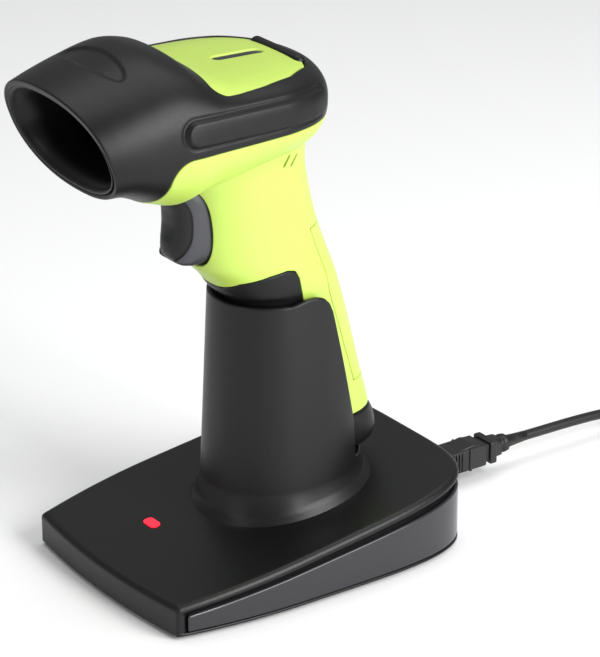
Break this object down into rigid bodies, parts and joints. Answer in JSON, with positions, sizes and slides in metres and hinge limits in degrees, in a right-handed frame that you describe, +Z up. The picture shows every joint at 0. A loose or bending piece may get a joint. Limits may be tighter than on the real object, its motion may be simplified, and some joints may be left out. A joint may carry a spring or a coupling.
{
  "type": "handheld barcode scanner",
  "caption": "Pistol-grip barcode scanner with trigger, seated in a sloped charging cradle with status light and lead.",
  "frame": {"origin": "under the middle of the scanner and cradle, on the surface they stand on", "axes": "+Z up, -Y the way the nose points, +X the scanner's right-hand side"},
  "size_m": [0.1168, 0.3049, 0.1796],
  "materials": {
    "cradle_plastic": "moulded ABS, fine matte texture",
    "gloss_band": "polished ABS",
    "led_red": "lit red lens",
    "gold": "gold plated",
    "board": "solder mask",
    "socket": "moulded",
    "ballast": "zinc plated sheet",
    "feet": "matte",
    "screw_steel": "plated",
    "bumper": "TPU overmould, satin",
    "shell_green": "moulded ABS, satin",
    "indicator": "dark lens",
    "window": "dark red clear",
    "engine": "die cast look",
    "lens_glass": "coated",
    "bracket": "moulded",
    "buzzer_black": "moulded",
    "grip": "satin",
    "battery_wrap": "shrink sleeve",
    "trigger_plastic": "satin moulded",
    "spring_steel": "wire",
    "plunger_red": "moulded",
    "lead_pvc": "PVC jacket",
    "plug_grip": "PVC overmould",
    "plug_metal": "nickel plated"
  },
  "bodies": {
    "cradle": {"base_top_shell": "cradle_plastic", "base_bottom_plate": "cradle_plastic", "side_band": "gloss_band", "cradle_tower": "cradle_plastic", "status_led_lens": "led_red", "contact_block": "socket", "cradle_circuit_board": "board", "lead_socket": "socket", "ballast_plate": "ballast", "rubber_feet": "feet", "base_screws": "screw_steel", "lead_plug": "plug_grip", "lead_cable": "lead_pvc", "lead_coil": "lead_pvc", "lead_tail": "lead_pvc", "lead_tie": "feet", "usb_plug_grip": "plug_grip", "usb_plug_shell": "plug_metal"},
    "contact_pins": {"contact_pins": "gold"},
    "scanner": {"nose_hood": "bumper", "top_cover": "shell_green", "indicator_lens": "indicator", "scan_window": "window", "scan_engine": "engine", "engine_lens": "lens_glass", "engine_bracket": "bracket", "head_circuit_board": "board", "buzzer": "buzzer_black", "handle_shell": "shell_green", "rear_cover": "shell_green", "grip_panel": "grip", "end_cap": "grip", "charge_pads": "gold", "battery": "battery_wrap", "board_screws": "screw_steel", "trigger_pin": "screw_steel", "trigger_spring": "spring_steel", "trigger_switch": "socket"},
    "trigger": {"trigger": "trigger_plastic"},
    "switch_plunger": {"switch_plunger": "plunger_red"}
  },
  "joints": [
    {"name": "scanner_lift", "type": "slide", "parent": "cradle", "child": "scanner", "axis": [0, -0.284, 0.9588], "range_m": [0, 0.12]},
    {"name": "trigger_pull", "type": "hinge", "parent": "scanner", "child": "trigger", "pos_m": [0, -0.011, 0.132], "axis": [1, 0, 0], "range_deg": [0, 5], "stiffness_Nm_per_rad": 0.25, "springref_deg": -6.88},
    {"name": "switch_press", "type": "slide", "parent": "scanner", "child": "switch_plunger", "axis": [0, 1, 0], "range_m": [0, 0.0016]},
    {"name": "contact_press", "type": "slide", "parent": "cradle", "child": "contact_pins", "axis": [0, 0, -1], "range_m": [0, 0.001], "stiffness_N_per_m": 120, "springref_m": -0.001}
  ],
  "couplings": [
    {"joint": "switch_press", "follows": "trigger_pull", "m_per_rad": 0.017}
  ]
}
